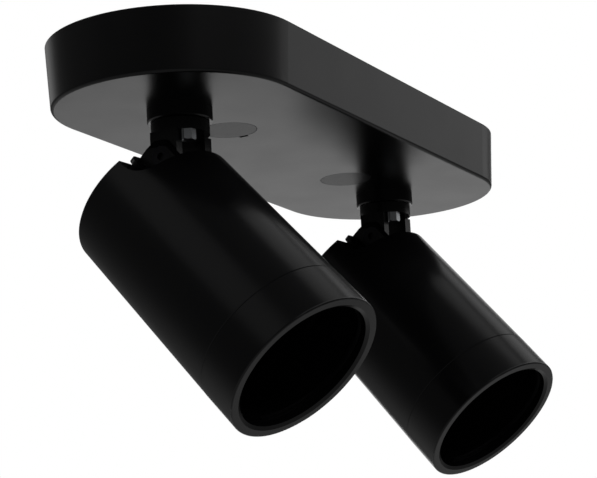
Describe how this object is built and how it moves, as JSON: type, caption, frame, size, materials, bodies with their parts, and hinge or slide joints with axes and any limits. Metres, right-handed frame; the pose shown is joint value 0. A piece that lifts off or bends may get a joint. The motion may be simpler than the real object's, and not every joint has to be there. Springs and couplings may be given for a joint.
{
  "type": "pivoting spotlight wall light",
  "caption": "Surface light: two tubular spotlights on fork joints pan and tilt under a long canopy with round ends.",
  "frame": {"origin": "centre of the mounting face, midway between the two fixing slots, in the plane of the canopy's rim", "axes": "+Z into the wall or ceiling, +X along the canopy, heads hang to -Z and point towards -Y at rest"},
  "size_m": [0.2556, 0.113, 0.1405],
  "materials": {
    "canopy_coat": "satin black powder coat on a cast pan",
    "head_coat": "satin black powder coat on a turned and cast tube",
    "ring_coat": "satin black powder coat on a turned ring",
    "stem_coat": "satin black paint on machined steel",
    "lug_coat": "satin black paint on cast lugs",
    "cap_plastic": "moulded, fine matt grain",
    "zinc_steel": "zinc plated sheet and screws",
    "dark_steel": "black oxide screws",
    "spring_steel": "drawn spring wire and strip",
    "nylon": "natural nylon washers",
    "terminal_plastic": "moulded terminal block",
    "brass_screw": "turned brass",
    "white_ceramic": "unglazed steatite",
    "black_rubber": "moulded grommet"
  },
  "bodies": {
    "canopy": {"canopy": "canopy_coat", "cover_cap_left": "cap_plastic", "cover_cap_right": "cap_plastic", "canopy_screws": "zinc_steel", "ceiling_bracket": "zinc_steel", "cable_grommet": "black_rubber", "terminal_block": "terminal_plastic", "terminal_screws": "brass_screw", "earth_screw": "brass_screw", "collar_left": "stem_coat", "collar_right": "stem_coat"},
    "stem_left": {"fork_stem_left": "stem_coat", "clamp_screw_left": "zinc_steel", "friction_washers_left": "nylon", "lock_nut_left": "zinc_steel", "wave_washer_left": "spring_steel", "slide_washer_left": "nylon"},
    "head_left": {"head_housing_left": "head_coat", "front_ring_left": "ring_coat", "retaining_ring_left": "spring_steel", "tilt_bracket_left": "lug_coat", "bracket_screws_left": "dark_steel", "pivot_screw_left": "dark_steel", "pivot_nut_left": "dark_steel", "lead_grommet_left": "black_rubber", "holder_strap_left": "zinc_steel", "holder_screws_left": "zinc_steel", "lamp_holder_left": "white_ceramic"},
    "stem_right": {"fork_stem_right": "stem_coat", "clamp_screw_right": "zinc_steel", "friction_washers_right": "nylon", "lock_nut_right": "zinc_steel", "wave_washer_right": "spring_steel", "slide_washer_right": "nylon"},
    "head_right": {"head_housing_right": "head_coat", "front_ring_right": "ring_coat", "retaining_ring_right": "spring_steel", "tilt_bracket_right": "lug_coat", "bracket_screws_right": "dark_steel", "pivot_screw_right": "dark_steel", "pivot_nut_right": "dark_steel", "lead_grommet_right": "black_rubber", "holder_strap_right": "zinc_steel", "holder_screws_right": "zinc_steel", "lamp_holder_right": "white_ceramic"}
  },
  "joints": [
    {"name": "pan_left", "type": "hinge", "parent": "canopy", "child": "stem_left", "pos_m": [-0.0811, 0, -0.03], "axis": [0, 0, 1], "range_deg": [-170, 170]},
    {"name": "tilt_left", "type": "hinge", "parent": "stem_left", "child": "head_left", "pos_m": [-0.0811, 0, -0.042], "axis": [0.9971, -0.0767, 0], "range_deg": [-33.2, 41.8]},
    {"name": "pan_right", "type": "hinge", "parent": "canopy", "child": "stem_right", "pos_m": [0.0811, 0, -0.03], "axis": [0, 0, 1], "range_deg": [-170, 170]},
    {"name": "tilt_right", "type": "hinge", "parent": "stem_right", "child": "head_right", "pos_m": [0.0811, 0, -0.042], "axis": [0.9956, -0.0941, 0], "range_deg": [-34.8, 40.2]}
  ]
}
